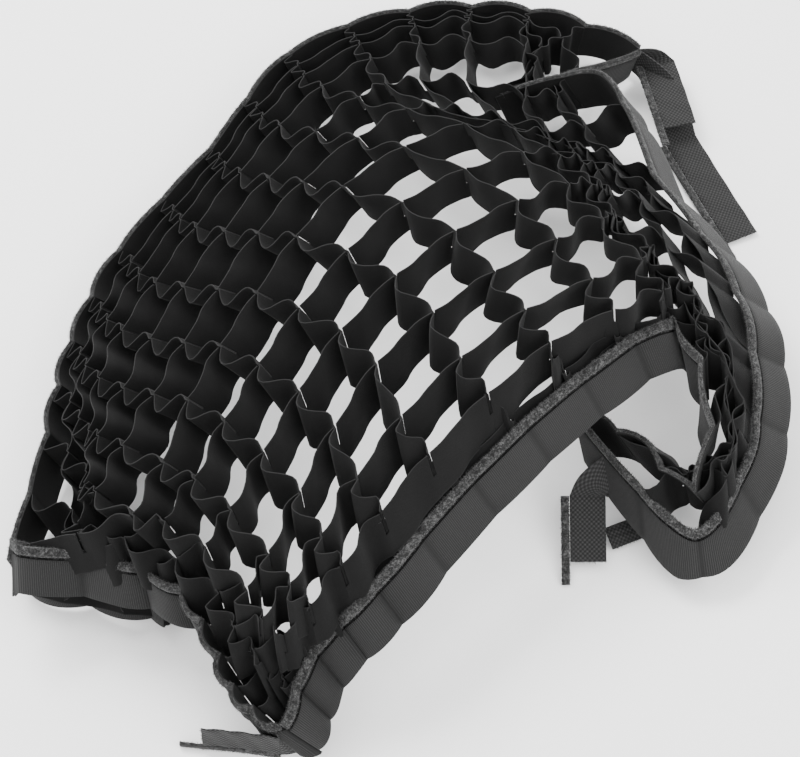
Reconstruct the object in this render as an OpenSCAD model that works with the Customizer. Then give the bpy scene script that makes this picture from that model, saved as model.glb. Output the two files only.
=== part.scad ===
// Fabric egg-crate grid for a rectangular softbox, lying crumpled on a table.
// Long and cross strips slot into each other, and a tape border holds their ends.
// Millimetres, +Z up. The origin is the middle of the base, on the table.

/* [Grid] */
// Squares along the long side
cells_long = 16; // [14:1:16]
// Squares along the short side
cells_short = 14; // [12:1:14]
// Height of the strips
strip_h = 32; // [24:1:34]
// Thickness of the strip fabric
strip_t = 0.6; // [0.4:0.1:0.8]

/* [Slots] */
// Width of the slot where two strips cross
slot_w = 3; // [2:0.5:4]
// Play between the two slot floors
slot_play = 0.5; // [0.2:0.1:1]

/* [Border] */
// Thickness of the hem that the strip ends are sewn to
hem_t = 0.8; // [0.6:0.1:1.2]
// Height of the hook tape
tape_h = 25; // [20:1:26]
// Thickness of the hook tape
tape_t = 1.4; // [1:0.1:1.8]
// Height of the brushed edge strip
brush_h = 7; // [5:1:8]
// Thickness of the brushed edge strip
brush_t = 2.2; // [1.6:0.1:2.6]
// Gap between the border's layers
layer_gap = 0.3; // [0.2:0.1:0.5]
// Clearance between a strip's end and the middle of the hem
end_gap = 1.2; // [0.9:0.1:2]
// Most that the border bulges outward between two seams
border_wave = 6; // [1:0.5:7]

/* [Loose ends] */
// Thickness of the webbing ends at the corners
tail_t = 1.2; // [0.8:0.1:1.6]
// Width of the webbing ends
tail_w = 25; // [20:1:26]
// Width of the brushed strip along a webbing end
tail_brush_w = 6; // [5:1:8]
// Length by which the brushed strip outlasts its webbing end
tail_brush_extra = 16; // [8:1:20]

/* [Drape] */
// Smallest wave of a strip between two crossings
wave_min = 2; // [1:0.5:3]
// Largest wave, as a share of the distance between the crossings
wave_share = 0.3; // [0.1:0.02:0.4]
// Fabric that a strip keeps between two crossings
kept_length = 49; // [42:1:49]
// Share of a long strip's wave that hangs to one side, and share that sways both ways
long_belly = 0.4; // [0.2:0.05:0.8]
long_sway = 0.8; // [0.4:0.05:0.9]
// The same for a cross strip
cross_belly = 0.5; // [0.2:0.05:0.8]
cross_sway = 0.7; // [0.4:0.05:0.9]
// Largest widening of a strip where the lay would shear it narrow
width_limit = 1.25; // [1:0.05:1.3]

/* [Hidden] */
// Steps along one square of a strip and of the border
steps = 3;
// Where the lay's own zero lies, seen from the middle of the base
datum = [-6.35, -10.55, -1.95];

// The lay of the crumpled grid: where chosen crossings lie, at half height.
// One row for each place along the long side, one point for each place across it.
lay_long = [0, 2, 4, 6, 8, 10, 11.5, 13, 14.5, 16];
lay_short = [0, 3, 4.5, 6, 7.5, 9, 10.5, 12, 14];
lay = [
    [[-257, -171, 20], [-154, -193, 25], [-203, -189, 38], [-252, -190, 65], [-184, -194, 58],
     [-136, -215, 58], [-112, -247, 50], [-97, -275, 38], [-63, -295, 26]],
    [[-235, -70, 25], [-195, -130, 60], [-200, -140, 80], [-165, -175, 95], [-135, -195, 100],
     [-100, -237, 90], [-80, -254, 80], [-53, -259, 58], [-44, -256, 50]],
    [[-220, 10, 25], [-195, -45, 65], [-165, -70, 85], [-130, -90, 105], [-95, -125, 110],
     [-60, -170, 110], [-40, -215, 105], [-13, -223, 85], [-5, -224, 78]],
    [[-190, 90, 25], [-160, 40, 60], [-125, 15, 90], [-85, -5, 110], [-45, -40, 120],
     [-10, -85, 130], [15, -145, 130], [48, -154, 106], [58, -153, 98]],
    [[-130, 180, 25], [-105, 135, 60], [-70, 110, 85], [-30, 85, 110], [25, 45, 125],
     [65, -10, 135], [95, -55, 135], [121, -78, 113], [132, -80, 106]],
    [[-75, 270, 25], [-50, 220, 50], [-5, 185, 75], [55, 150, 95], [110, 95, 115],
     [145, 45, 125], [180, -5, 125], [189, -24, 106], [197, -32, 94]],
    [[-10, 305, 25], [5, 260, 45], [20, 195, 70], [105, 150, 85], [140, 100, 105],
     [155, 55, 115], [190, 15, 115], [220, -20, 95], [217, -76, 82]],
    [[60, 315, 25], [60, 270, 45], [65, 195, 65], [135, 145, 75], [155, 100, 95],
     [165, 50, 105], [205, -15, 100], [235, -70, 80], [210, -128, 48]],
    [[125, 305, 25], [115, 260, 40], [125, 185, 55], [155, 150, 65], [190, 100, 80],
     [215, 45, 85], [235, -45, 80], [235, -115, 65], [177, -91, 44]],
    [[185, 276, 25], [82, 211, 45], [163, 217, 60], [200, 127, 60], [245, 51, 60],
     [261, -21, 60], [254, -97, 50], [209, -160, 30], [129, -74, 45]],
];
// How far the strips lean there: sideways travel for each millimetre of rise
lean_long = [0, 2, 4, 6, 8, 10, 12, 14, 16];
lean_short = [0, 6, 8, 10, 12, 14];
lean = [
    [[-0.3, 0.2], [0, 1], [-0.2, 0.6], [-0.4, 0.3], [-0.5, 0.3], [-1.2, 0.4]],
    [[-0.5, 0.1], [-0.6, 0.1], [-0.3, 0.3], [0, 0.3], [-0.4, 0.5], [-1.1, 1]],
    [[-0.8, -0.1], [-0.8, 0], [-0.3, 0.3], [-0.1, 0.4], [-0.6, 0.7], [-1.2, 1.3]],
    [[-0.8, -0.1], [-0.9, -0.1], [-0.3, 0.5], [-0.2, 0.6], [-0.6, 0.8], [-1.2, 1.3]],
    [[-0.5, 0], [-0.5, -0.1], [0.1, 0.2], [0.1, 0.1], [-0.3, 0.5], [-0.9, 1.2]],
    [[-0.3, 0.1], [-0.3, 0], [-0.1, 0], [-0.1, -0.1], [-0.2, 0.3], [-0.4, 1]],
    [[-0.1, 0.1], [-0.4, -0.1], [-0.2, -0.1], [-0.2, -0.1], [0, 0.1], [0, 0.1]],
    [[0.1, 0.1], [-0.5, -0.1], [-0.6, 0], [-0.5, 0], [-0.1, 0.2], [-0.7, -0.3]],
    [[0.2, 0], [-1, 0.3], [-1.3, 0.2], [-1.3, 0.1], [-0.2, 1.2], [-0.3, 0.8]],
];

// ---- Curves ----

function unit(a) = a / norm(a);
function knot(ks, x) = min(len(ks) - 2, max([0, for (i = [0 : len(ks) - 1]) if (ks[i] <= x) i]));
function rate(ks, vs, i) = (vs[i + 1] - vs[i]) / (ks[i + 1] - ks[i]);
// Slope of a smooth curve through the values vs at the knots ks
function slope(ks, vs, i) =
    i == 0 ? rate(ks, vs, 0) :
    i == len(ks) - 1 ? rate(ks, vs, i - 1) :
    (rate(ks, vs, i - 1) * (ks[i + 1] - ks[i]) + rate(ks, vs, i) * (ks[i] - ks[i - 1]))
        / (ks[i + 1] - ks[i - 1]);
function hermite(a, b, ma, mb, t) =
    a * (2 * pow(t, 3) - 3 * t * t + 1) + b * (3 * t * t - 2 * pow(t, 3))
    + ma * (pow(t, 3) - 2 * t * t + t) + mb * (pow(t, 3) - t * t);
function smooth(ks, vs, x) =
    let (i = knot(ks, x), w = ks[i + 1] - ks[i])
    hermite(vs[i], vs[i + 1], slope(ks, vs, i) * w, slope(ks, vs, i + 1) * w, (x - ks[i]) / w);
function net(ku, kv, rows, u, v) = smooth(ku, [for (row = rows) smooth(kv, row, v)], u);

// ---- The lay of the grid ----

long_end = lay_long[len(lay_long) - 1];
short_end = lay_short[len(lay_short) - 1];
// Centre of the crossing at u squares along and v squares across
function place(u, v) =
    net(lay_long, lay_short, lay, u * long_end / cells_long, v * short_end / cells_short) + datum;
// Direction from the lower to the upper edge of the strips there
function rise(u, v) =
    let (s = net(lean_long, lean_short, lean, u * long_end / cells_long, v * short_end / cells_short))
    unit([s[0], s[1], 1]);
places = [for (u = [0 : cells_long]) [for (v = [0 : cells_short]) place(u, v)]];
rises = [for (u = [0 : cells_long]) [for (v = [0 : cells_short]) rise(u, v)]];

// Depth of the wave of a strip between two crossings closer than its own length
function wave_depth(gap, belly, sway) = min(
    wave_share * gap + wave_min,
    max(wave_min, sqrt(max(0, 2 * gap * (kept_length - gap)
        / (16 * belly * belly / 3 + 2 * PI * PI * sway * sway))))
);
// Wave of the strip from a to b, square to its rise and towards the given side
function wave(a, b, up, side, shape) =
    let (n = unit(cross(b - a, up)))
    n * wave_depth(norm(b - a), shape[0], shape[1]) * (n * side < 0 ? -1 : 1);
function bulge(shape, t) = shape[0] * 4 * t * (1 - t) + shape[1] * sin(360 * t);
function bulge_rate(shape, t) = shape[0] * 4 * (1 - 2 * t) + shape[1] * 2 * PI * cos(360 * t);
// How much longer the upright direction has to be for the strip to keep its height
function widening(along, up) = min(width_limit, 1 / norm(cross(unit(along), unit(up))));
// Centre and upright direction at share s of the way between two slot edges, which are at
// shares t0 and t1 of the way between two crossings
function station(a, b, w, ua, ub, shape, t0, t1, s) =
    let (
        t = t0 + (t1 - t0) * s,
        up = ua * (1 - t) + ub * t,
        along = (b - a) * (t1 - t0) + w * bulge_rate(shape, s),
        wide = 1 + (widening(along, up) - 1) * 4 * s * (1 - s)
    )
    [a * (1 - t) + b * t + w * bulge(shape, s), up * wide];
// Stations of one square's length of strip, from slot edge to slot edge
function span(a, b, ua, ub, side, shape, first, last) =
    let (
        w = wave(a, b, ua + ub, side, shape),
        gap = norm(b - a),
        t0 = (first ? end_gap : slot_w / 2) / gap,
        t1 = 1 - (last ? end_gap : slot_w / 2) / gap
    )
    [for (i = [0 : steps]) station(a, b, w, ua, ub, shape, t0, t1, i / steps)];
function strip_stations(points, ups, sides, shape) = turned([
    for (i = [0 : len(points) - 2])
    each span(
        points[i], points[i + 1], ups[i], ups[i + 1], sides[i], shape, i == 0, i == len(points) - 2
    )
]);
// Stations with their sideways direction, which is square to the line between their neighbours
function turned(s) = [
    for (i = [0 : len(s) - 1])
    let (ahead = s[min(i + 1, len(s) - 1)][0] - s[max(i - 1, 0)][0])
    [s[i][0], s[i][1], unit(cross(ahead, s[i][1]))]
];
function flip(stations) = [for (s = stations) [s[0], -s[1], -s[2]]];

function long_stations(v) = strip_stations(
    [for (u = [0 : cells_long]) places[u][v]],
    [for (u = [0 : cells_long]) rises[u][v]],
    [for (u = [0 : cells_long - 1]) places[u][v - 1] - places[u][v]
        + places[u + 1][v - 1] - places[u + 1][v]],
    [long_belly, -long_sway]
);
function cross_stations(u) = strip_stations(
    places[u],
    rises[u],
    [for (v = [0 : cells_short - 1]) places[u - 1][v] - places[u][v]
        + places[u - 1][v + 1] - places[u][v + 1]],
    [cross_belly, cross_sway]
);

// Edge curves of the four border sides: side 0 and 2 run along, 1 and 3 across
function edge_u(side, s) = side == 0 || side == 2 ? s : side == 1 ? cells_long : 0;
function edge_v(side, s) = side == 1 || side == 3 ? s : side == 2 ? cells_short : 0;
function edge_cells(side) = side == 0 || side == 2 ? cells_long : cells_short;
function edge_point(side, s) = place(edge_u(side, s), edge_v(side, s));
function edge_rise(side, s) = rise(edge_u(side, s), edge_v(side, s));
// Outward direction of a border side: away from the squares beside it
outward = [-1, -1, 1, 1];
// Bulge at place s: the border is sewn at the crossings and keeps its length between them
function border_bulge(side, s) =
    let (
        i = min(floor(s), edge_cells(side) - 1),
        gap = norm(edge_point(side, i + 1) - edge_point(side, i))
    )
    min(border_wave, wave_depth(gap, 1, 0)) * 4 * (s - i) * (1 - s + i);
function border_stations(side, offset, shift) = [
    for (i = [0 : edge_cells(side) * steps])
    let (
        s = i / steps,
        lo = max(0, s - 0.1),
        hi = min(edge_cells(side), s + 0.1),
        along = edge_point(side, hi) - edge_point(side, lo),
        up = edge_rise(side, s) * widening(along, edge_rise(side, s)),
        out = outward[side] * unit(cross(along, up)),
        bulge = border_bulge(side, s)
    )
    [edge_point(side, s) + out * (offset + bulge) + up * shift,
        up, outward[side] * out]
];

// ---- Solids ----

function quad(a, b, c, d) = [[a, b, c], [a, c, d]];
// Vertices of station j: lower, slot floor and upper, on its two faces
function vert(j, level, face) = 6 * j + 2 * level + face;
function rim(a, b) = quad(b, a, a + 1, b + 1);
function both(tri) = [tri, [tri[2] + 1, tri[1] + 1, tri[0] + 1]];
function ribbon_points(stations, h, t, floor_h) = [
    for (s = stations, level = [-h / 2, floor_h, h / 2], face = [1, -1])
    s[0] + s[1] * level + s[2] * face * t / 2
];
// Faces between stations j and j + 1 where the ribbon has its full height
function full_step(j, slot_here, slot_next) =
    let (
        b0 = vert(j, 0, 0), m0 = vert(j, 1, 0), t0 = vert(j, 2, 0),
        b1 = vert(j + 1, 0, 0), m1 = vert(j + 1, 1, 0), t1 = vert(j + 1, 2, 0)
    )
    concat(
        slot_here ? concat(both([b0, m0, b1]), both([m0, t1, b1]), both([m0, t0, t1])) :
        slot_next ? concat(both([b0, m1, b1]), both([b0, t0, m1]), both([t0, t1, m1])) :
        concat(both([b0, t0, b1]), both([t0, t1, b1])),
        rim(b1, b0),
        rim(t0, t1)
    );
// Faces across a slot, between its edge stations j and j + 1
function slot_step(j) =
    let (
        b0 = vert(j, 0, 0), m0 = vert(j, 1, 0), t0 = vert(j, 2, 0),
        b1 = vert(j + 1, 0, 0), m1 = vert(j + 1, 1, 0), t1 = vert(j + 1, 2, 0)
    )
    concat(
        both([b0, m0, b1]), both([m0, m1, b1]),
        rim(b1, b0), rim(m0, m1), rim(t0, m0), rim(m1, t1)
    );
function ends(last) = concat(
    rim(vert(0, 0, 0), vert(0, 2, 0)),
    rim(vert(last, 2, 0), vert(last, 0, 0))
);
// A strip with a half-height slot at each crossing, open towards its upper edge
module slotted_ribbon(stations) {
    per = steps + 1;
    last = len(stations) - 1;
    polyhedron(ribbon_points(stations, strip_h, strip_t, -slot_play / 2), concat(
        ends(last),
        [for (j = [0 : last - 1]) each
            j % per == steps ? slot_step(j) :
            full_step(j, j % per == 0 && j > 0, j % per == steps - 1 && j < last - 1)]
    ));
}
// A band with no slots
module plain_ribbon(stations, h, t) {
    last = len(stations) - 1;
    polyhedron(ribbon_points(stations, h, t, 0), concat(
        ends(last),
        [for (j = [0 : last - 1]) each full_step(j, false, false)]
    ));
}

module long_strip(v) {
    color([0.08, 0.08, 0.08]) slotted_ribbon(long_stations(v));
}
module cross_strip(u) {
    color([0.1, 0.1, 0.1]) slotted_ribbon(flip(cross_stations(u)));
}
module hem(side) {
    color([0.09, 0.09, 0.09]) plain_ribbon(border_stations(side, 0, 0), strip_h, hem_t);
}
// The hook tape lies outside the hem, from its lower edge up
tape_offset = hem_t / 2 + layer_gap + tape_t / 2;
tape_shift = (tape_h - strip_h) / 2;
module hook_tape(side) {
    color([0.2, 0.2, 0.2]) plain_ribbon(border_stations(side, tape_offset, tape_shift), tape_h, tape_t);
}
// The brushed strip lies outside the hem, above the hook tape
brush_offset = hem_t / 2 + layer_gap + brush_t / 2;
brush_shift = tape_h + layer_gap + (brush_h - strip_h) / 2;
module brushed_edge(side) {
    color([0.3, 0.3, 0.3]) plain_ribbon(border_stations(side, brush_offset, brush_shift), brush_h, brush_t);
}

// ---- Loose ends ----

// For each end: middle of its stitched edge, direction along it, direction across
// it towards its brushed strip, and length of the webbing
tails = [
    [[205, 278, 21], [14, -65, 0], [-65, -14, 0], 62],
    [[220, 215, 5], [40, -90, 0], [-90, -40, 0], 100],
    [[-76, -299, 21], [-45, 6, 0], [0, 0, -1], 52],
    [[134, -112, 26], [0, -40, -16], [-1, 0, 0], 46],
    [[157, -124, 10], [6, -14, -5], [-14, -6, 0], 16],
];
tail_names = ["far_upper", "far_lower", "near", "fold", "fold_flap"];
// Places a solid lying along +X and flat in the XY plane on a loose end
module along_tail(tail) {
    along = unit(tail[1]);
    face = unit(cross(tail[1], tail[2]));
    across = cross(face, along);
    start = tail[0] + datum;
    multmatrix([
        [along[0], across[0], face[0], start[0]],
        [along[1], across[1], face[1], start[1]],
        [along[2], across[2], face[2], start[2]]
    ]) children();
}
module webbing(i) {
    color([0.18, 0.18, 0.18]) along_tail(tails[i])
        translate([0, -tail_w / 2, -tail_t / 2]) cube([tails[i][3], tail_w, tail_t]);
}
// The brushed strip beside a webbing end runs on past the cut
module webbing_brush(i) {
    color([0.3, 0.3, 0.3]) along_tail(tails[i])
        translate([0, tail_w / 2 + layer_gap, -brush_t / 2])
            cube([tails[i][3] + tail_brush_extra, tail_brush_w, brush_t]);
}

// ---- Nodes ----

function two(n) = n < 10 ? str("0", n) : str(n);
function long_name(v) = str("long_strip_", two(v));
function cross_name(u) = str("cross_strip_", two(u));
side_names = ["far", "right", "near", "left"];

for (v = [1 : cells_short - 1]) long_strip(v);
for (u = [1 : cells_long - 1]) cross_strip(u);
for (i = [0 : 3]) hem(i);
for (i = [0 : 3]) hook_tape(i);
for (i = [0 : 3]) brushed_edge(i);
for (i = [0 : 4]) webbing(i);
for (i = [0 : 3]) webbing_brush(i);
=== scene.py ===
# Fabric honeycomb grid, lying crumpled. The cloth follows the lay of the CAD's solids, in millimetres.
import math
import bpy
import numpy as np
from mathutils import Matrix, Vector


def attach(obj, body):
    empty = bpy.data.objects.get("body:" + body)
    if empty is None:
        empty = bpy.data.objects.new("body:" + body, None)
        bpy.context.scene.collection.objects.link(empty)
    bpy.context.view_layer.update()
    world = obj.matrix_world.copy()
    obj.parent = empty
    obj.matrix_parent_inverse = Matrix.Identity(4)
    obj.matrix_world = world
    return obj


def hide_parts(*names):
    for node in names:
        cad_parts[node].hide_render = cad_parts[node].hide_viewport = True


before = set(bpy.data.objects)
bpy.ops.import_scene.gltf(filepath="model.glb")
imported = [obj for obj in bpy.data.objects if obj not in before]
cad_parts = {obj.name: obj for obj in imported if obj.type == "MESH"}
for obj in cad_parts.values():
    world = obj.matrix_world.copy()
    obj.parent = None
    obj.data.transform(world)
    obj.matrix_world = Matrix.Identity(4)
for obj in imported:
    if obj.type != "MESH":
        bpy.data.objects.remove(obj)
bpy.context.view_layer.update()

MM = 0.001

# ---------------------------------------------------------------- camera
DATUM = np.array([-6.35, -10.55, -1.95])
TARGET = np.array([0.0, 0.0, 40.0]) + DATUM
ELEVATION = math.radians(57)
DISTANCE = 1900.0
eye = TARGET + DISTANCE * np.array([0.0, -math.cos(ELEVATION), math.sin(ELEVATION)])
cam_data = bpy.data.cameras.new("camera")
cam_data.lens = 119.7
cam_data.sensor_width = 36.0
cam_data.shift_x = 0.00625
cam_data.shift_y = -0.0356
cam_data.clip_end = 20.0
cam = bpy.data.objects.new("camera", cam_data)
cam.location = tuple(eye * MM)
cam.rotation_euler = (math.pi / 2 - ELEVATION, 0.0, 0.0)
bpy.context.scene.collection.objects.link(cam)
bpy.context.scene.camera = cam

# ---------------------------------------------------------------- the grid, mostly as part.scad has it
# WAVE_SHARE differs: here it serves only the border, and each strip finds its own share.
CELLS_LONG = 16
CELLS_SHORT = 14
STRIP_H = 32
STRIP_T = 0.6
SLOT_W = 3
END_GAP = 1.2
BORDER_WAVE = 6
HEM_T = 0.8
TAPE_H = 25
TAPE_T = 1.4
BRUSH_H = 7
BRUSH_T = 2.2
LAYER_GAP = 0.3
TAIL_T = 1.2
TAIL_W = 25
TAIL_BRUSH_W = 6
TAIL_BRUSH_EXTRA = 16
WAVE_MIN = 2
WAVE_SHARE = 0.42
KEPT_LENGTH = 49
LONG_BELLY = 0.4
LONG_SWAY = 0.8
CROSS_BELLY = 0.5
CROSS_SWAY = 0.7
WIDTH_LIMIT = 1.25
CELL = 50
# The lay repeats part.scad's table. Its x and y are not hand-chosen: helper scripts made nearly all of
# them from places read in the photo, as report.md says. Heights and LEAN were given one by one.
LAY_LONG = [0, 2, 4, 6, 8, 10, 11.5, 13, 14.5, 16]
LAY_SHORT = [0, 3, 4.5, 6, 7.5, 9, 10.5, 12, 14]
LAY = [
    [[-257, -171, 20], [-154, -193, 25], [-203, -189, 38], [-252, -190, 65], [-184, -194, 58],
     [-136, -215, 58], [-112, -247, 50], [-97, -275, 38], [-63, -295, 26]],
    [[-235, -70, 25], [-195, -130, 60], [-200, -140, 80], [-165, -175, 95], [-135, -195, 100],
     [-100, -237, 90], [-80, -254, 80], [-53, -259, 58], [-44, -256, 50]],
    [[-220, 10, 25], [-195, -45, 65], [-165, -70, 85], [-130, -90, 105], [-95, -125, 110],
     [-60, -170, 110], [-40, -215, 105], [-13, -223, 85], [-5, -224, 78]],
    [[-190, 90, 25], [-160, 40, 60], [-125, 15, 90], [-85, -5, 110], [-45, -40, 120],
     [-10, -85, 130], [15, -145, 130], [48, -154, 106], [58, -153, 98]],
    [[-130, 180, 25], [-105, 135, 60], [-70, 110, 85], [-30, 85, 110], [25, 45, 125],
     [65, -10, 135], [95, -55, 135], [121, -78, 113], [132, -80, 106]],
    [[-75, 270, 25], [-50, 220, 50], [-5, 185, 75], [55, 150, 95], [110, 95, 115],
     [145, 45, 125], [180, -5, 125], [189, -24, 106], [197, -32, 94]],
    [[-10, 305, 25], [5, 260, 45], [20, 195, 70], [105, 150, 85], [140, 100, 105],
     [155, 55, 115], [190, 15, 115], [220, -20, 95], [217, -76, 82]],
    [[60, 315, 25], [60, 270, 45], [65, 195, 65], [135, 145, 75], [155, 100, 95],
     [165, 50, 105], [205, -15, 100], [235, -70, 80], [210, -128, 48]],
    [[125, 305, 25], [115, 260, 40], [125, 185, 55], [155, 150, 65], [190, 100, 80],
     [215, 45, 85], [235, -45, 80], [235, -115, 65], [177, -91, 44]],
    [[185, 276, 25], [82, 211, 45], [163, 217, 60], [200, 127, 60], [245, 51, 60],
     [261, -21, 60], [254, -97, 50], [209, -160, 30], [129, -74, 45]],
]
LEAN_LONG = [0, 2, 4, 6, 8, 10, 12, 14, 16]
LEAN_SHORT = [0, 6, 8, 10, 12, 14]
LEAN = [
    [[-0.3, 0.2], [0, 1], [-0.2, 0.6], [-0.4, 0.3], [-0.5, 0.3], [-1.2, 0.4]],
    [[-0.5, 0.1], [-0.6, 0.1], [-0.3, 0.3], [0, 0.3], [-0.4, 0.5], [-1.1, 1]],
    [[-0.8, -0.1], [-0.8, 0], [-0.3, 0.3], [-0.1, 0.4], [-0.6, 0.7], [-1.2, 1.3]],
    [[-0.8, -0.1], [-0.9, -0.1], [-0.3, 0.5], [-0.2, 0.6], [-0.6, 0.8], [-1.2, 1.3]],
    [[-0.5, 0], [-0.5, -0.1], [0.1, 0.2], [0.1, 0.1], [-0.3, 0.5], [-0.9, 1.2]],
    [[-0.3, 0.1], [-0.3, 0], [-0.1, 0], [-0.1, -0.1], [-0.2, 0.3], [-0.4, 1]],
    [[-0.1, 0.1], [-0.4, -0.1], [-0.2, -0.1], [-0.2, -0.1], [0, 0.1], [0, 0.1]],
    [[0.1, 0.1], [-0.5, -0.1], [-0.6, 0], [-0.5, 0], [-0.1, 0.2], [-0.7, -0.3]],
    [[0.2, 0], [-1, 0.3], [-1.3, 0.2], [-1.3, 0.1], [-0.2, 1.2], [-0.3, 0.8]],
]


def knot(ks, x):
    return min(len(ks) - 2, max([0] + [i for i in range(len(ks)) if ks[i] <= x]))


def rate(ks, vs, i):
    return (vs[i + 1] - vs[i]) / (ks[i + 1] - ks[i])


def slope(ks, vs, i):
    if i == 0:
        return rate(ks, vs, 0)
    if i == len(ks) - 1:
        return rate(ks, vs, i - 1)
    before, after = ks[i] - ks[i - 1], ks[i + 1] - ks[i]
    return (rate(ks, vs, i - 1) * after + rate(ks, vs, i) * before) / (before + after)


def smooth(ks, vs, x):
    i = knot(ks, x)
    w = ks[i + 1] - ks[i]
    t = (x - ks[i]) / w
    ma, mb = slope(ks, vs, i) * w, slope(ks, vs, i + 1) * w
    return (vs[i] * (2 * t**3 - 3 * t * t + 1) + vs[i + 1] * (3 * t * t - 2 * t**3)
            + ma * (t**3 - 2 * t * t + t) + mb * (t**3 - t * t))


def net(ku, kv, rows, u, v):
    return smooth(ku, [smooth(kv, [np.array(p, float) for p in row], v) for row in rows], u)


def unit(a):
    return a / np.linalg.norm(a)


def place(u, v):
    return net(LAY_LONG, LAY_SHORT, LAY, u, v) + DATUM


def rise(u, v):
    s = net(LEAN_LONG, LEAN_SHORT, LEAN, u, v)
    return unit(np.array([s[0], s[1], 1.0]))


PLACES = [[place(u, v) for v in range(CELLS_SHORT + 1)] for u in range(CELLS_LONG + 1)]
RISES = [[rise(u, v) for v in range(CELLS_SHORT + 1)] for u in range(CELLS_LONG + 1)]
OUTWARD = {"far": -1, "right": -1, "near": 1, "left": 1}
INNER_DEPTHS = {1: 4.0, 2: 7.5}
MOST_PUSHED = 9.0


def border_place(side, s):
    return {"far": (s, 0), "near": (s, CELLS_SHORT), "right": (CELLS_LONG, s), "left": (0, s)}[side]


def push_behind(side):
    """Keeps the two crossings beside a border behind the plane of its hem."""
    along_long = side in ("far", "near")
    cells, across = (CELLS_LONG, CELLS_SHORT) if along_long else (CELLS_SHORT, CELLS_LONG)
    for s in range(1, cells):
        edge = place(*border_place(side, s))
        along = place(*border_place(side, s + 0.1)) - place(*border_place(side, s - 0.1))
        out = OUTWARD[side] * unit(np.cross(along, rise(*border_place(side, s))))
        for step, depth in INNER_DEPTHS.items():
            inner = step if side in ("far", "left") else across - step
            u, v = (s, inner) if along_long else (inner, s)
            ahead = out @ (PLACES[u][v] - edge) + depth
            if ahead > 0:
                PLACES[u][v] = PLACES[u][v] - out * min(MOST_PUSHED, ahead)


for pushed in ("left", "near"):
    push_behind(pushed)


def wave_depth(gap, belly, sway, share=WAVE_SHARE):
    e = 16 * belly * belly / 3 + 2 * math.pi**2 * sway * sway
    return min(share * gap + WAVE_MIN, max(WAVE_MIN, math.sqrt(max(0.0, 2 * gap * (KEPT_LENGTH - gap) / e))))


def widening(along, up):
    return min(WIDTH_LIMIT, 1 / np.linalg.norm(np.cross(unit(along), unit(up))))


class Columns:
    """Cross-sections of a ribbon in order.

    c is the centre, u the upright, n the sideways direction, t the share of the square that is passed,
    cell the square and s the place along the ribbon in mm.
    """

    def __init__(self):
        self.c, self.u, self.n, self.t, self.cell = [], [], [], [], []

    def add(self, c, u, n, t, cell):
        self.c.append(c)
        self.u.append(u)
        self.n.append(n)
        self.t.append(t)
        self.cell.append(cell)

    def done(self):
        self.c, self.u, self.n = np.array(self.c), np.array(self.u), np.array(self.n)
        self.t, self.cell = np.array(self.t), np.array(self.cell)
        step = np.linalg.norm(np.diff(self.c, axis=0), axis=1)
        self.s = np.concatenate([[0], np.cumsum(step)])
        return self

    def area(self):
        low, high = self.c - self.u * STRIP_H / 2, self.c + self.u * STRIP_H / 2
        return np.linalg.norm(np.cross(high[1:] - low[:-1], high[:-1] - low[1:]), axis=1).sum() / 2


KEPT_SHARE = 0.76
GENTLE_WAVE, DEEP_WAVE, WAVE_STEP = 0.1, 0.5, 0.04


def strip_columns(kind, k, fine=11):
    """Columns of a strip with the gentlest wave at which it keeps most of its length."""
    length = (CELLS_LONG if kind == "long" else CELLS_SHORT) * CELL
    share = GENTLE_WAVE
    cols = strip_at_wave(kind, k, fine, share)
    while cols.area() < KEPT_SHARE * length * STRIP_H and share < DEEP_WAVE:
        share += WAVE_STEP
        cols = strip_at_wave(kind, k, fine, share)
    return cols


def room_to_hem(kind, k, i):
    """Most that square i of a strip may bulge without reaching the hem beside it."""
    last = CELLS_SHORT if kind == "long" else CELLS_LONG
    rooms = []
    for end in (i, i + 1):
        if kind == "long":
            here, low, high = (PLACES[end][v] for v in (k, 0, last))
        else:
            here, low, high = (PLACES[u][end] for u in (k, 0, last))
        rooms += [np.linalg.norm(here - low), np.linalg.norm(here - high)]
    return max(0.3, 0.6 * min(rooms) - 1.0)


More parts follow.
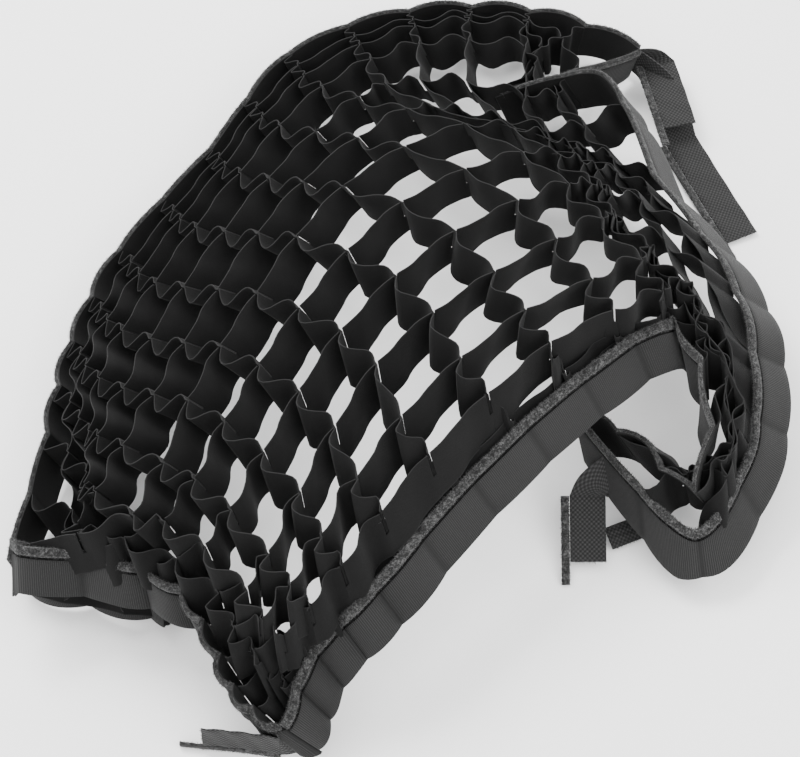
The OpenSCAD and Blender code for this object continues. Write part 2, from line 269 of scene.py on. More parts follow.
def strip_at_wave(kind, k, fine, share):
    """Columns of strip k at one wave share. Each square's first and last column are its slots' edges."""
    cols = Columns()
    cells = CELLS_LONG if kind == "long" else CELLS_SHORT
    belly, sway = (LONG_BELLY, -LONG_SWAY) if kind == "long" else (CROSS_BELLY, CROSS_SWAY)
    for i in range(cells):
        if kind == "long":
            a, b, ua, ub = PLACES[i][k], PLACES[i + 1][k], RISES[i][k], RISES[i + 1][k]
            side = PLACES[i][k - 1] - a + PLACES[i + 1][k - 1] - b
        else:
            a, b, ua, ub = PLACES[k][i], PLACES[k][i + 1], RISES[k][i], RISES[k][i + 1]
            side = PLACES[k - 1][i] - a + PLACES[k - 1][i + 1] - b
        n = unit(np.cross(b - a, ua + ub))
        gap = np.linalg.norm(b - a)
        depth = min(wave_depth(gap, belly, sway, share), room_to_hem(kind, k, i))
        w = n * depth * (-1 if n @ side < 0 else 1)
        t0 = (END_GAP if i == 0 else SLOT_W / 2) / gap
        t1 = 1 - (END_GAP if i == cells - 1 else SLOT_W / 2) / gap
        for j in range(fine + 1):
            s = j / fine
            t = t0 + (t1 - t0) * s
            up = ua * (1 - t) + ub * t
            rate_here = belly * 4 * (1 - 2 * s) + sway * 2 * math.pi * math.cos(2 * math.pi * s)
            along = (b - a) * (t1 - t0) + w * rate_here
            bulge = belly * 4 * s * (1 - s) + sway * math.sin(2 * math.pi * s)
            wide = 1 + (widening(along, up) - 1) * 4 * s * (1 - s)
            cols.add(a * (1 - t) + b * t + w * bulge, up * wide, n, t, i)
    cols.done()
    ahead = np.concatenate([cols.c[1:], cols.c[-1:]]) - np.concatenate([cols.c[:1], cols.c[:-1]])
    cols.n = np.cross(ahead, cols.u)
    cols.n /= np.linalg.norm(cols.n, axis=1, keepdims=True)
    return cols


def border_columns(side, fine=12):
    """Columns of a border with the bulge between its seams."""
    cells = CELLS_LONG if side in ("far", "near") else CELLS_SHORT

    def at(s):
        return border_place(side, s)

    cols = Columns()
    for i in range(cells * fine + 1):
        s = i / fine
        along = place(*at(min(cells, s + 0.1))) - place(*at(max(0, s - 0.1)))
        up = rise(*at(s))
        up = up * widening(along, up)
        out = OUTWARD[side] * unit(np.cross(along, up))
        cols.add(place(*at(s)), up, out, s - math.floor(s), min(i // fine, cells - 1))
    gaps = [np.linalg.norm(place(*at(i + 1)) - place(*at(i))) for i in range(cells)]
    most = np.array([min(BORDER_WAVE, wave_depth(gap, 1, 0)) for gap in gaps])
    cols.done()
    cols.bulge = most[cols.cell] * 4 * cols.t * (1 - cols.t)
    return cols


# ---------------------------------------------------------------- mesh building
HAIR_WIDTH, THREAD_WIDTH = 0.28, 0.3


def hashed(*key):
    """A repeatable number from 0 to 1."""
    x = math.sin(sum((i + 1) * 12.9898 * k for i, k in enumerate(key)) + 4.1414) * 43758.5453
    return x - math.floor(x)


def make_object(name, verts, faces, uvs=None, edge=None, material=None, smooth_angle=50):
    mesh = bpy.data.meshes.new(name)
    corners = [tuple(p) for p in np.asarray(verts) * MM]
    mesh.from_pydata(corners, [], [tuple(int(i) for i in f) for f in faces])
    if uvs is not None:
        layer = mesh.uv_layers.new(name="UVMap")
        index = np.empty(len(mesh.loops), dtype=np.int32)
        mesh.loops.foreach_get("vertex_index", index)
        layer.data.foreach_set("uv", np.asarray(uvs, dtype=np.float32)[index].ravel())
    if edge is not None:
        attr = mesh.attributes.new("edge", "FLOAT", "POINT")
        attr.data.foreach_set("value", np.asarray(edge, dtype=np.float32))
    mesh.validate()
    mesh.shade_smooth()
    mesh.set_sharp_from_angle(angle=math.radians(smooth_angle))
    if material is not None:
        mesh.materials.append(material)
    obj = bpy.data.objects.new(name, mesh)
    bpy.context.scene.collection.objects.link(obj)
    return obj


def ribbon_mesh(cols, heights, thickness, lift, slots=None, slot_rows=None, level=None, rib=None):
    """Closed band, where lift(j, k) is the sideways shift of column j at row k.

    A slot is the step after each column in slots, where only slot_rows are filled.
    """
    rows, count = len(heights), len(cols.c)
    shift = np.array([[lift(j, k) for k in range(rows)] for j in range(count)])
    high = np.array([[heights[k] for k in range(rows)] for j in range(count)], float)
    if level:
        high += np.array([[level(j, k) for k in range(rows)] for j in range(count)])
    thick = thickness if np.ndim(thickness) else np.full(rows, thickness)
    base = cols.c[:, None, :] + cols.u[:, None, :] * high[:, :, None]
    front = base + cols.n[:, None, :] * (shift + thick / 2)[:, :, None]
    back = base + cols.n[:, None, :] * (shift - thick / 2)[:, :, None]
    verts = np.concatenate([front.reshape(-1, 3), back.reshape(-1, 3)])
    uv = np.stack(np.broadcast_arrays(cols.s[:, None], np.array(heights)[None, :]), -1).reshape(-1, 2)
    uvs = np.concatenate([uv, uv + [0.37, 0.21]])
    reach = max(abs(h - (heights[0] + heights[-1]) / 2) for h in heights)
    edge = np.abs(np.array(heights) - (heights[0] + heights[-1]) / 2) / reach
    edges = np.tile(edge, count * 2)
    half = count * rows
    filled = np.ones((count - 1, rows - 1), bool)
    for j in slots or ():
        filled[j, :] = False
        for k in slot_rows:
            filled[j, k] = True
    faces = []
    for j in range(count - 1):
        for k in range(rows - 1):
            if not filled[j, k]:
                continue
            a, b, c, d = j * rows + k, (j + 1) * rows + k, (j + 1) * rows + k + 1, j * rows + k + 1
            faces.append((a, d, c, b))
            faces.append((a + half, b + half, c + half, d + half))
            if k == 0 or not filled[j, k - 1]:
                faces.append((a, b, b + half, a + half))
            if k == rows - 2 or not filled[j, k + 1]:
                faces.append((d, d + half, c + half, c))
            if j == 0 or not filled[j - 1, k]:
                faces.append((a, a + half, d + half, d))
            if j == count - 2 or not filled[j + 1, k]:
                faces.append((b, c, c + half, b + half))
    return verts, faces, uvs, edges


def hairs_mesh(points, directions, lengths, widths, bend=None):
    """Short fibres, each one thin blade with a bent tip."""
    points, directions = np.asarray(points), np.asarray(directions)
    helper = np.where(np.abs(directions[:, 2:3]) > 0.8, [[1.0, 0.0, 0.0]], [[0.0, 0.0, 1.0]])
    across = np.cross(directions, helper)
    across /= np.linalg.norm(across, axis=1, keepdims=True)
    lengths, widths = np.asarray(lengths)[:, None], np.asarray(widths)[:, None]
    bend = np.zeros_like(points) if bend is None else bend
    mid = points + directions * lengths * 0.55 + bend * 0.35
    tip = points + directions * lengths + bend
    root, narrow = across * widths / 2, across * widths / 3
    verts = np.stack([points - root, points + root, mid + narrow, mid - narrow, tip], 1)
    n = len(points)
    base = np.arange(n)[:, None] * 5
    quads = base + np.array([[0, 1, 2, 3]])
    tris = base + np.array([[3, 2, 4]])
    return verts.reshape(-1, 3), [tuple(q) for q in quads] + [tuple(q) for q in tris]


# ---------------------------------------------------------------- materials
class Nodes:
    def __init__(self, name):
        self.mat = bpy.data.materials.new(name)
        self.mat.use_nodes = True
        self.tree = self.mat.node_tree
        self.bsdf = self.tree.nodes["Principled BSDF"]

    def add(self, kind, inputs=None, **props):
        node = self.tree.nodes.new(kind)
        for key, value in props.items():
            setattr(node, key, value)
        for key, value in (inputs or {}).items():
            self.feed(node.inputs[key], value)
        return node

    def feed(self, socket, value):
        if isinstance(value, bpy.types.NodeSocket):
            self.tree.links.new(value, socket)
        else:
            socket.default_value = value

    def math(self, operation, a, b=0.0, clamp=False):
        node = self.add("ShaderNodeMath", {0: a, 1: b}, operation=operation, use_clamp=clamp)
        return node.outputs[0]

    def uv(self):
        node = self.add("ShaderNodeUVMap", uv_map="UVMap")
        parts = self.add("ShaderNodeSeparateXYZ", {0: node.outputs[0]})
        return parts.outputs[0], parts.outputs[1]

    def noise(self, scale, detail=2.0, rough=0.5, space="Object"):
        coords = self.add("ShaderNodeTexCoord")
        inputs = {"Vector": coords.outputs[space], "Scale": scale, "Detail": detail, "Roughness": rough}
        return self.add("ShaderNodeTexNoise", inputs).outputs["Fac"]

    def ramp(self, fac, stops):
        node = self.add("ShaderNodeValToRGB", {0: fac})
        ramp = node.color_ramp
        while len(ramp.elements) < len(stops):
            ramp.elements.new(0.5)
        for element, (at, color) in zip(ramp.elements, stops):
            element.position = at
            element.color = (*color, 1.0)
        return node.outputs[0]

    def bump(self, height, strength, distance):
        node = self.add("ShaderNodeBump", {"Height": height, "Strength": strength, "Distance": distance})
        self.tree.links.new(node.outputs[0], self.bsdf.inputs["Normal"])
        return node


def thread_wave(m, coord, pitch, phase=0.0):
    """From 0 to 1 and back once every pitch, in mm."""
    turned = m.math("MULTIPLY_ADD", coord, 2 * math.pi / pitch)
    turned.node.inputs[2].default_value = phase
    return m.math("MULTIPLY", m.math("ADD", m.math("SINE", turned), 1.0), 0.5)


def grey(v, tint=0.0):
    return (v, v * (1 + tint * 0.3), v * (1 + tint))


def strip_material():
    m = Nodes("strip_nylon")
    x, y = m.uv()
    weave = m.math("MULTIPLY", thread_wave(m, x, 1.05), thread_wave(m, y, 1.05))
    over = m.math("MULTIPLY", thread_wave(m, x, 1.05, math.pi), thread_wave(m, y, 1.05, math.pi))
    weave = m.math("ADD", weave, over)
    speck = m.noise(1500.0, 1.0, 0.6)
    soft = m.noise(26.0, 3.0, 0.55)
    level = m.math("MULTIPLY_ADD", weave, 0.30)
    level.node.inputs[2].default_value = 0.0
    level = m.math("ADD", level, m.math("MULTIPLY", speck, 0.55))
    level = m.math("ADD", level, m.math("MULTIPLY", soft, 0.25))
    colour = m.ramp(level, [(0.18, grey(0.0012)), (0.55, grey(0.0038)), (0.85, grey(0.010))])
    edge = m.add("ShaderNodeAttribute", attribute_name="edge", attribute_type="GEOMETRY").outputs["Fac"]
    rim = m.math("MULTIPLY", m.math("SUBTRACT", edge, 0.955, clamp=True), 22.0, clamp=True)
    rim = m.math("MULTIPLY", rim, m.math("ADD", 0.35, speck), clamp=True)
    mix = m.add("ShaderNodeMix", {0: rim, 6: colour, 7: (*grey(0.016), 1.0)}, data_type="RGBA")
    m.feed(m.bsdf.inputs["Base Color"], mix.outputs[2])
    m.bsdf.inputs["Roughness"].default_value = 0.82
    m.bsdf.inputs["Specular IOR Level"].default_value = 0.1
    m.bsdf.inputs["Sheen Weight"].default_value = 0.03
    m.bsdf.inputs["Sheen Roughness"].default_value = 0.5
    m.bump(m.math("ADD", weave, m.math("MULTIPLY", speck, 0.6)), 0.45, 0.00022)
    return m.mat


def tape_material():
    m = Nodes("hook_tape")
    x, y = m.uv()
    ribs = thread_wave(m, x, 1.4)
    cross = thread_wave(m, y, 0.9)
    speck = m.noise(1300.0, 2.0, 0.6)
    soft = m.noise(18.0, 3.0, 0.5)
    level = m.math("MULTIPLY", ribs, 0.42)
    level = m.math("ADD", level, m.math("MULTIPLY", cross, 0.12))
    level = m.math("ADD", level, m.math("MULTIPLY", speck, 0.4))
    level = m.math("ADD", level, m.math("MULTIPLY", soft, 0.22))
    colour = m.ramp(level, [(0.2, grey(0.003)), (0.55, grey(0.010)), (0.9, grey(0.026))])
    # painted shade: the tape's colour is mixed darker at its seams, where it is pinched between its bulges
    seam_shade = m.add("ShaderNodeAttribute", attribute_name="seam_shade", attribute_type="GEOMETRY").outputs["Fac"]
    inputs = {0: m.math("MULTIPLY", seam_shade, 0.95), 6: colour, 7: (*grey(0.008), 1.0)}
    mix = m.add("ShaderNodeMix", inputs, data_type="RGBA")
    m.feed(m.bsdf.inputs["Base Color"], mix.outputs[2])
    m.bsdf.inputs["Roughness"].default_value = 0.75
    m.bsdf.inputs["Specular IOR Level"].default_value = 0.16
    m.bsdf.inputs["Sheen Weight"].default_value = 0.05
    m.bump(m.math("ADD", ribs, m.math("MULTIPLY", speck, 0.8)), 0.6, 0.0004)
    return m.mat


def brushed_material():
    m = Nodes("brushed_loop")
    speck = m.noise(900.0, 3.0, 0.7)
    clump = m.noise(260.0, 2.0, 0.6)
    level = m.math("ADD", m.math("MULTIPLY", speck, 0.65), m.math("MULTIPLY", clump, 0.35))
    colour = m.ramp(level, [(0.38, grey(0.004)), (0.5, grey(0.018)), (0.62, grey(0.075))])
    m.feed(m.bsdf.inputs["Base Color"], colour)
    m.bsdf.inputs["Roughness"].default_value = 0.9
    m.bsdf.inputs["Specular IOR Level"].default_value = 0.12
    m.bsdf.inputs["Sheen Weight"].default_value = 0.12
    m.bump(level, 0.9, 0.0008)
    return m.mat


def webbing_material():
    m = Nodes("webbing")
    x, y = m.uv()
    a, b = thread_wave(m, x, 3.2), thread_wave(m, y, 3.2)
    c, d = thread_wave(m, x, 3.2, math.pi), thread_wave(m, y, 3.2, math.pi)
    check = m.math("ADD", m.math("MULTIPLY", a, b), m.math("MULTIPLY", c, d))
    speck = m.noise(1200.0, 2.0, 0.6)
    level = m.math("ADD", m.math("MULTIPLY", check, 0.6), m.math("MULTIPLY", speck, 0.4))
    colour = m.ramp(level, [(0.2, grey(0.004)), (0.5, grey(0.013)), (0.85, grey(0.034))])
    m.feed(m.bsdf.inputs["Base Color"], colour)
    m.bsdf.inputs["Roughness"].default_value = 0.75
    m.bsdf.inputs["Specular IOR Level"].default_value = 0.16
    m.bsdf.inputs["Sheen Weight"].default_value = 0.05
    m.bump(m.math("ADD", check, m.math("MULTIPLY", speck, 0.4)), 0.7, 0.0005)
    return m.mat


def thread_material(name, low, high):
    m = Nodes(name)
    colour = m.ramp(m.noise(700.0, 2.0, 0.6), [(0.35, grey(low)), (0.65, grey(high))])
    m.feed(m.bsdf.inputs["Base Color"], colour)
    m.bsdf.inputs["Roughness"].default_value = 0.75
    m.bsdf.inputs["Specular IOR Level"].default_value = 0.3
    return m.mat


NYLON = strip_material()
TAPE = tape_material()
BRUSHED = brushed_material()
WEBBING = webbing_material()
HAIR = thread_material("brushed_hairs", 0.008, 0.06)
STITCH = thread_material("stitch_thread", 0.04, 0.10)
FRAY = thread_material("frayed_threads", 0.006, 0.03)

# ---------------------------------------------------------------- strips
STRIP_ROWS = [-16.0, -15.3, -10.5, -5.0, -0.25, 5.0, 10.5, 15.3, 16.0]
CROSS_ROWS = [-16.0, -15.3, -10.5, -5.0, 0.25, 5.0, 10.5, 15.3, 16.0]
fray_at, fray_way = [], []


def make_strip(kind, k):
    fine = 11
    cols = strip_columns(kind, k, fine)
    per = fine + 1
    rows = STRIP_ROWS if kind == "long" else CROSS_ROWS
    seed = k + (0 if kind == "long" else 40)

    def lift(j, row):
        t, cell, h = cols.t[j], cols.cell[j], rows[row] / 16.0
        free = math.sin(math.pi * min(1, max(0, t))) ** 2
        curl = (hashed(seed, cell, 1) - 0.5) * 1.8 * h * abs(h)
        ripple = 0.5 * h * math.sin(2 * math.pi * (2.3 * t + hashed(seed, cell, 2)))
        belly = (hashed(seed, cell, 3) - 0.35) * 1.1 * (1 - h * h)
        return free * (curl + ripple + belly)

    def level(j, row):
        h = rows[row] / 16.0
        t = cols.t[j]
        return -0.5 * h * math.sin(math.pi * min(1, max(0, t))) * abs(h)

    slots = [j for j in range(len(cols.c) - 1) if j % per == per - 1]
    filled = [0, 1, 2, 3] if kind == "long" else [4, 5, 6, 7]
    verts, faces, uvs, edge = ribbon_mesh(cols, rows, STRIP_T, lift, slots, filled, level)
    node = f"{kind}_strip_{k:02d}"
    obj = make_object(node + "_cloth", verts, faces, uvs, edge, NYLON)
    top = 1 if kind == "long" else -1
    for j in slots:
        if hashed(seed, j, 7) < 0.75:
            fray_at.append(cols.c[j] + cols.u[j] * 15.8 * top)
            fray_way.append((unit(cols.c[j + 1] - cols.c[j] + 1e-6), unit(cols.u[j]) * top, cols.n[j]))
    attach(obj, "grid")
    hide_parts(node)
    return obj


# ---------------------------------------------------------------- border
BRUSH_RAISED = 1.6
hair_at, hair_way, hair_len = [], [], []
stitch_verts, stitch_faces = [], []


def seam_dip(t):
    near = min(t, 1 - t)
    return math.exp(-((near * CELL) / 1.1) ** 2)


def make_border(side):
    cols = border_columns(side)
    bulge = cols.bulge
    seed = {"far": 1, "right": 2, "near": 3, "left": 4}[side]
    base_u = cols.u.copy()

    hem_rows = [-16.0, -15.2, -8.0, 0.0, 8.0, 15.2, 16.0]
    verts, faces, uvs, edge = ribbon_mesh(cols, hem_rows, HEM_T, lambda j, k: bulge[j])
    hem = make_object(f"hem_{side}_cloth", verts, faces, uvs, edge, NYLON)

    # hook tape: its middle is moved down along the upright, as in the CAD
    tape_middle = cols.c + cols.u * (TAPE_H - STRIP_H) / 2
    cols.c, keep = tape_middle, cols.c
    half = TAPE_H / 2
    rows = [-half, -half + 0.5, -8.0, -3.0, 3.0, 8.0, half - 0.5, half]
    thick = np.array([0.8, TAPE_T, TAPE_T, TAPE_T, TAPE_T, TAPE_T, TAPE_T, 0.8])
    offset = HEM_T / 2 + LAYER_GAP + TAPE_T / 2

    def tape_lift(j, k):
        t, cell = cols.t[j], cols.cell[j]
        low = max(0.0, -rows[k] / half)
        flare = 0.9 * low * low * 4 * t * (1 - t) * (0.4 + hashed(seed, cell, 5))
        return offset + bulge[j] + flare - 0.25 * seam_dip(t)

    def tape_level(j, k):
        t, cell = cols.t[j], cols.cell[j]
        low = max(0.0, -rows[k] / half)
        return -low**3 * (1.1 * 4 * t * (1 - t) * hashed(seed, cell, 6))

    verts, faces, uvs, edge = ribbon_mesh(cols, rows, thick, tape_lift, level=tape_level)
    tape = make_object(f"hook_tape_{side}_cloth", verts, faces, uvs, edge, TAPE)
    # mask for the painted shade at the tape's seams, where it is pinched between its bulges
    seam_shade = np.array([1.0 if min(t, 1 - t) * CELL < 0.6 else 0.0 for t in cols.t])
    attr = tape.data.attributes.new("seam_shade", "FLOAT", "POINT")
    attr.data.foreach_set("value", np.tile(np.repeat(seam_shade, len(rows)), 2).astype(np.float32))
    cols.c = keep

    # brushed strip: a soft rounded band with a rough skin
    shift = TAPE_H + LAYER_GAP + (BRUSH_H - STRIP_H) / 2 + BRUSH_RAISED
    offset = HEM_T / 2 + LAYER_GAP + BRUSH_T / 2
    centre = cols.c + cols.u * shift + cols.n * (offset + bulge)[:, None]
    fine = 6
    count = (len(cols.c) - 1) * fine + 1
    at = np.linspace(0, len(cols.c) - 1, count)
    low = np.minimum(at.astype(int), len(cols.c) - 2)
    part = (at - low)[:, None]

    def between(a):
        return a[low] * (1 - part) + a[low + 1] * part

    c, u, n = between(centre), between(base_u), between(cols.n)
    ring = 10
    verts, uvs = [], []
    rng = np.random.default_rng(seed)
    rough = rng.normal(0, 0.16, (count, ring))
    for r in range(ring):
        a = 2 * math.pi * (r + 0.5) / ring
        ca, sa = math.cos(a), math.sin(a)
        x = math.copysign(abs(ca) ** 0.7, ca) * BRUSH_T / 2 * 1.35
        y = math.copysign(abs(sa) ** 0.7, sa) * BRUSH_H / 2 * 0.97
        verts.append(c + n * (x + rough[:, r : r + 1] * abs(ca)) + u * (y + rough[:, r : r + 1] * abs(sa)))
    verts = np.stack(verts, 1).reshape(-1, 3)
    faces = []
    for j in range(count - 1):
        for r in range(ring):
            q = (r + 1) % ring
            faces.append((j * ring + r, j * ring + q, (j + 1) * ring + q, (j + 1) * ring + r))
    faces.append(tuple(range(ring - 1, -1, -1)))
    faces.append(tuple((count - 1) * ring + r for r in range(ring)))
    brush = make_object(f"brushed_edge_{side}_cloth", verts, faces, None, None, BRUSHED, 180)

    # hairs all over the brushed strip, and even loops along its upper edge
    total = int(16 * cols.s[-1])
    pick = rng.uniform(0, count - 1.001, total)
    lo = pick.astype(int)
    fr = (pick - lo)[:, None]
    pc, pu, pn = (a[lo] * (1 - fr) + a[lo + 1] * fr for a in (c, u, n))
    ang = rng.uniform(-1.35, 2.2, total)
    x, y = np.cos(ang) * BRUSH_T / 2 * 0.85, np.sin(ang) * BRUSH_H / 2 * 0.9
    tangent = np.gradient(c, axis=0)
    tangent /= np.linalg.norm(tangent, axis=1, keepdims=True)
    way = pn * np.cos(ang)[:, None] + pu * np.sin(ang)[:, None] * 1.1 + rng.normal(0, 0.55, (total, 3))
    way /= np.linalg.norm(way, axis=1, keepdims=True)
    hair_at.append(pc + pn * x[:, None] + pu * y[:, None])
    hair_way.append(way)
    hair_len.append(rng.uniform(0.9, 2.2, total))
    loops = int(cols.s[-1] / 1.7)
    at = np.linspace(0, count - 1.001, loops)
    lo = at.astype(int)
    hair_at.append(c[lo] + u[lo] * BRUSH_H / 2 * 0.9 - n[lo] * BRUSH_T / 2 * 0.5)
    way = u[lo] * 0.7 - n[lo] * 0.5 + tangent[lo] * 0.6
    hair_way.append(way / np.linalg.norm(way, axis=1, keepdims=True))
    hair_len.append(np.full(loops, 1.8))

    # a row of stitches along the lower part of the brushed strip
    pitch, dash = 3.4, 2.3
    arc = np.concatenate([[0], np.cumsum(np.linalg.norm(np.diff(c, axis=0), axis=1))])
    for i in range(int(arc[-1] / pitch)):
        ends = []
        for s in (i * pitch + 0.4, i * pitch + 0.4 + dash):
            j = min(int(np.searchsorted(arc, s)), count - 1)
            ends.append((c[j] + n[j] * (BRUSH_T / 2 + 0.12) - u[j] * (BRUSH_H / 2 - 1.3), u[j], n[j]))
        start = len(stitch_verts)
        (p, pu_, pn_), (q, qu, qn) = ends
        m = (p + q) / 2 + pn_ * 0.22
        sections = ((p - pn_ * 0.3, pu_, pn_, 0.14), (m, pu_, pn_, 0.24), (q - qn * 0.3, qu, qn, 0.14))
        for point, uu, nn, r in sections:
            stitch_verts.extend([point + uu * r, point + nn * r, point - uu * r, point - nn * r])
        for a in (0, 4):
            for b in range(4):
                d = (b + 1) % 4
                stitch_faces.append((start + a + b, start + a + d, start + a + 4 + d, start + a + 4 + b))
        stitch_faces.append((start + 3, start + 2, start + 1, start))
        stitch_faces.append((start + 8, start + 9, start + 10, start + 11))

    bands = (
        (hem, "hem_", "hem_nylon"),
        (tape, "hook_tape_", "hook_tape"),
        (brush, "brushed_edge_", "brushed_loop"),
    )
    for obj, node, slot_name in bands:
        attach(obj, "grid")
        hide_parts(node + side)
    return hem, tape, brush


for side in ("far", "right", "near", "left"):
    make_border(side)
for v in range(1, CELLS_SHORT):
    make_strip("long", v)
for u in range(1, CELLS_LONG):
    make_strip("cross", u)

rng = np.random.default_rng(11)
points, ways, lengths = np.concatenate(hair_at), np.concatenate(hair_way), np.concatenate(hair_len)
widths = np.full(len(points), HAIR_WIDTH)
verts, faces = hairs_mesh(points, ways, lengths, widths, rng.normal(0, 0.25, points.shape))
hairs = make_object("border_hairs", verts, faces, None, None, HAIR, 180)
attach(hairs, "grid")

stitches = make_object("border_stitches", stitch_verts, stitch_faces, None, None, STITCH, 180)
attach(stitches, "grid")

# frayed threads at the cut slots
rng = np.random.default_rng(5)
at, way, length, bend = [], [], [], []
for p, (along, up, n) in zip(fray_at, fray_way):
    for _ in range(3):
        at.append(p + along * rng.uniform(-1.4, 1.4) - up * rng.uniform(0, 6))
        way.append(unit(along * rng.normal(0, 1) + up * rng.uniform(-0.2, 0.9) + n * rng.normal(0, 0.8)))
        length.append(rng.uniform(1.2, 4.2))
        bend.append(rng.normal(0, 1.0, 3))
verts, faces = hairs_mesh(at, way, length, np.full(len(at), THREAD_WIDTH), np.array(bend))
fray = make_object("frayed_threads", verts, faces, None, None, FRAY, 180)
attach(fray, "grid")

# ---------------------------------------------------------------- loose ends
def border_point(p):
    """Nearest place of the border, with its upright and outward direction."""
    found = None
    for side in OUTWARD:
        cols = border_columns(side, 4)
        gap = np.linalg.norm(cols.c - p, axis=1)
        j = int(gap.argmin())
        if found is None or gap[j] < found[0]:
            found = (gap[j], cols.c[j], unit(cols.u[j]), cols.n[j], side)
    return found[1:]


def make_bridge(name, p, a, b):
    """The part of a loose end that is sewn to the border and reaches the stitch line."""
    centre, up, out, side = border_point(p - a * 4.0)
    if up @ b < 0:
        up = -up
    begin = centre + out * (HEM_T / 2 + LAYER_GAP + TAPE_T + LAYER_GAP + TAIL_T / 2)
    reach = np.linalg.norm(p - begin)
    cols = Columns()
    steps = 10
    for j in range(steps + 1):
        t = j / steps
        ease = t * t * (3 - 2 * t)
        c = begin * (1 - t) + p * t + out * 0.15 * reach * math.sin(math.pi * t)
        u = unit(up * (1 - ease) + b * ease + 1e-6)
        cols.add(c, u, a, t, 0)
    cols.done()
    ahead = np.gradient(cols.c, axis=0)
    cols.n = np.cross(ahead, cols.u)
    cols.n /= np.linalg.norm(cols.n, axis=1, keepdims=True)
    half = TAIL_W / 2
    rows = [-half, -half / 2, 0.0, half / 2, half]
    verts, faces, uvs, edge = ribbon_mesh(cols, rows, TAIL_T, lambda j, k: 0.0)
    verts[:, 2] = np.maximum(verts[:, 2], 0.3)
    bridge = make_object(f"webbing_{name}_root_cloth", verts, faces, uvs, edge, WEBBING)
    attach(bridge, "grid")
    flat = (max(cols.s[-1], 1.0) * MM, TAIL_W * MM)


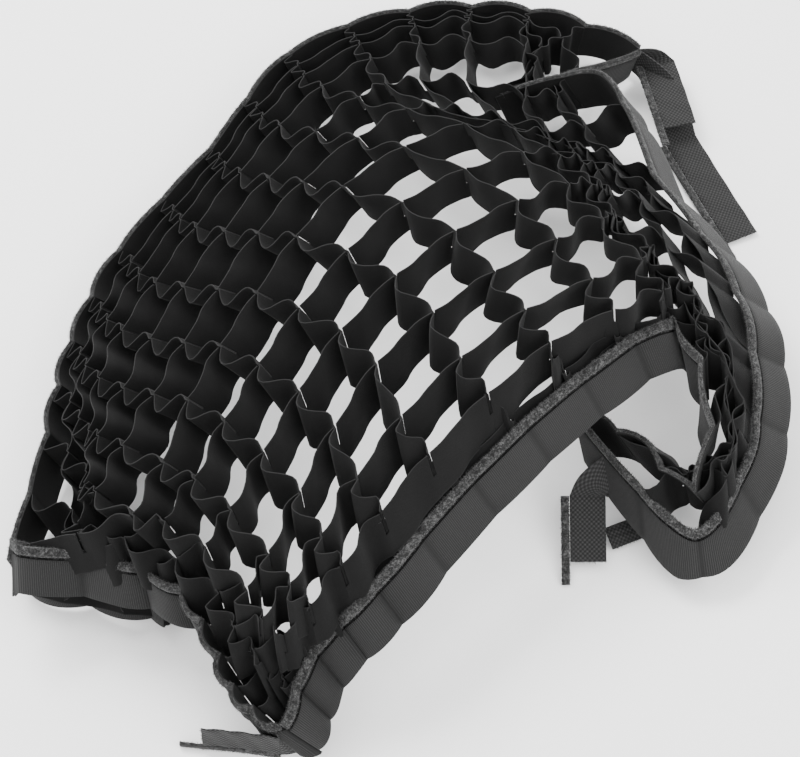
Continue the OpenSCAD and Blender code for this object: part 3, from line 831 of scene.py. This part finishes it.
TAILS = {
    "far_upper": ([205, 278, 21], [14, -65, 0], [-65, -14, 0], 62),
    "far_lower": ([220, 215, 5], [40, -90, 0], [-90, -40, 0], 100),
    "near": ([-76, -299, 21], [-45, 6, 0], [0, 0, -1], 52),
    "fold": ([134, -112, 26], [0, -40, -16], [-1, 0, 0], 46),
    "fold_flap": ([157, -124, 10], [6, -14, -5], [-14, -6, 0], 16),
}
for i, (name, (start, along, across, length)) in enumerate(TAILS.items()):
    a = unit(np.array(along, float))
    f = unit(np.cross(along, across))
    b = np.cross(f, a)
    p = np.array(start, float) + DATUM
    steps = 24
    cols = Columns()
    for j in range(steps + 1):
        t = j / steps
        sag = 0.8 * math.sin(math.pi * t) * (1 if i % 2 else -1)
        cols.add(p + a * length * t + f * sag, b, f, t, 0)
    cols.done()
    if name != "fold_flap":
        make_bridge(name, p, a, b)
    half = TAIL_W / 2
    rows = [-half, -half + 0.6, -8.0, -3.0, 3.0, 8.0, half - 0.6, half]
    thick = np.array([0.7, TAIL_T, TAIL_T, TAIL_T, TAIL_T, TAIL_T, TAIL_T, 0.7])
    verts, faces, uvs, edge = ribbon_mesh(cols, rows, thick, lambda j, k: 0.35 * math.sin(j * 0.9 + k))
    web = make_object(f"webbing_{name}_cloth", verts, faces, uvs, edge, WEBBING)
    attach(web, f"end_{name}")
    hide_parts(f"webbing_{name}")
    rng = np.random.default_rng(20 + i)
    n = 70
    spread = rng.uniform(-half, half, n)
    ends = p + a * length + np.outer(spread, b)
    way = a + rng.normal(0, 0.35, (n, 3))
    way /= np.linalg.norm(way, axis=1, keepdims=True)
    lengths, bend = rng.uniform(0.6, 2.0, n), rng.normal(0, 0.4, (n, 3))
    verts, faces = hairs_mesh(ends - a * 0.5, way, lengths, np.full(n, THREAD_WIDTH), bend)
    cut = make_object(f"webbing_{name}_cut", verts, faces, None, None, FRAY, 180)
    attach(cut, f"end_{name}")
    others = [cut]
    if name != "fold_flap":
        full = length + TAIL_BRUSH_EXTRA
        middle = half + LAYER_GAP + TAIL_BRUSH_W / 2
        count, ring = 90, 10
        js = np.linspace(0, 1, count)
        sag = 0.8 * np.sin(math.pi * np.minimum(1, js * full / length)) * (1 if i % 2 else -1)
        c = p + np.outer(js * full, a) + b * middle + np.outer(sag, f)
        rough = rng.normal(0, 0.16, (count, ring))
        verts = []
        for r in range(ring):
            ang = 2 * math.pi * (r + 0.5) / ring
            ca, sa = math.cos(ang), math.sin(ang)
            x = math.copysign(abs(ca) ** 0.7, ca) * BRUSH_T / 2 * 0.95
            y = math.copysign(abs(sa) ** 0.7, sa) * TAIL_BRUSH_W / 2 * 0.97
            noise = rough[:, r : r + 1]
            verts.append(c + f * (x + noise * abs(ca)) + b * (y + noise * abs(sa)))
        verts = np.stack(verts, 1).reshape(-1, 3)
        faces = []
        for j in range(count - 1):
            for r in range(ring):
                q = (r + 1) % ring
                faces.append((j * ring + r, j * ring + q, (j + 1) * ring + q, (j + 1) * ring + r))
        faces += [tuple(range(ring - 1, -1, -1)), tuple((count - 1) * ring + r for r in range(ring))]
        brush = make_object(f"webbing_brush_{name}_cloth", verts, faces, None, None, BRUSHED, 180)
        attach(brush, f"end_{name}")
        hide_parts(f"webbing_brush_{name}")
        total = int(full * 12)
        s = rng.uniform(0, 1, total)
        ang = rng.uniform(-math.pi, math.pi, total)
        sg = 0.8 * np.sin(math.pi * np.minimum(1, s * full / length)) * (1 if i % 2 else -1)
        middle_line = p + np.outer(s * full, a) + b * middle + np.outer(sg, f)
        out_of_it = np.outer(np.cos(ang) * BRUSH_T / 2 * 0.8, f)
        at = middle_line + out_of_it + np.outer(np.sin(ang) * TAIL_BRUSH_W / 2 * 0.85, b)
        way = np.outer(np.cos(ang), f) + np.outer(np.sin(ang), b) + rng.normal(0, 0.5, (total, 3))
        way /= np.linalg.norm(way, axis=1, keepdims=True)
        lengths, bend = rng.uniform(0.7, 1.8, total), rng.normal(0, 0.25, (total, 3))
        verts, faces = hairs_mesh(at, way, lengths, np.full(total, HAIR_WIDTH), bend)
        fuzz = make_object(f"webbing_{name}_hairs", verts, faces, None, None, HAIR, 180)
        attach(fuzz, f"end_{name}")
        others += [brush, fuzz]

# ---------------------------------------------------------------- stage and light
FLOOR_LEVEL = -0.0005
WORLD_STRENGTH = 2.7
KEY_POWER, FILL_POWER = 62, 26
floor_mesh = bpy.data.meshes.new("table_top")
floor_mesh.from_pydata([(-4, -4, 0), (4, -4, 0), (4, 4, 0), (-4, 4, 0)], [], [(0, 1, 2, 3)])
floor = bpy.data.objects.new("table_top", floor_mesh)
floor.location.z = FLOOR_LEVEL
bpy.context.scene.collection.objects.link(floor)
m = Nodes("table_paper")
m.bsdf.inputs["Base Color"].default_value = (0.88, 0.88, 0.88, 1)
m.bsdf.inputs["Roughness"].default_value = 0.9
m.bsdf.inputs["Specular IOR Level"].default_value = 0.1
floor_mesh.materials.append(m.mat)

world = bpy.data.worlds.new("studio")
bpy.context.scene.world = world
world.use_nodes = True
world.node_tree.nodes["Background"].inputs[0].default_value = (1, 1, 1, 1)
world.node_tree.nodes["Background"].inputs[1].default_value = WORLD_STRENGTH


def area_light(name, at, to, size, power):
    data = bpy.data.lights.new(name, "AREA")
    data.shape = "SQUARE"
    data.size = size
    data.energy = power
    light = bpy.data.objects.new(name, data)
    light.location = at
    light.rotation_euler = (Vector(to) - Vector(at)).to_track_quat("-Z", "Y").to_euler()
    bpy.context.scene.collection.objects.link(light)


area_light("key", (-0.9, 0.9, 1.8), (0, 0, 0.05), 1.0, KEY_POWER)
area_light("fill", (1.6, -0.8, 1.6), (0, 0, 0.05), 1.4, FILL_POWER)
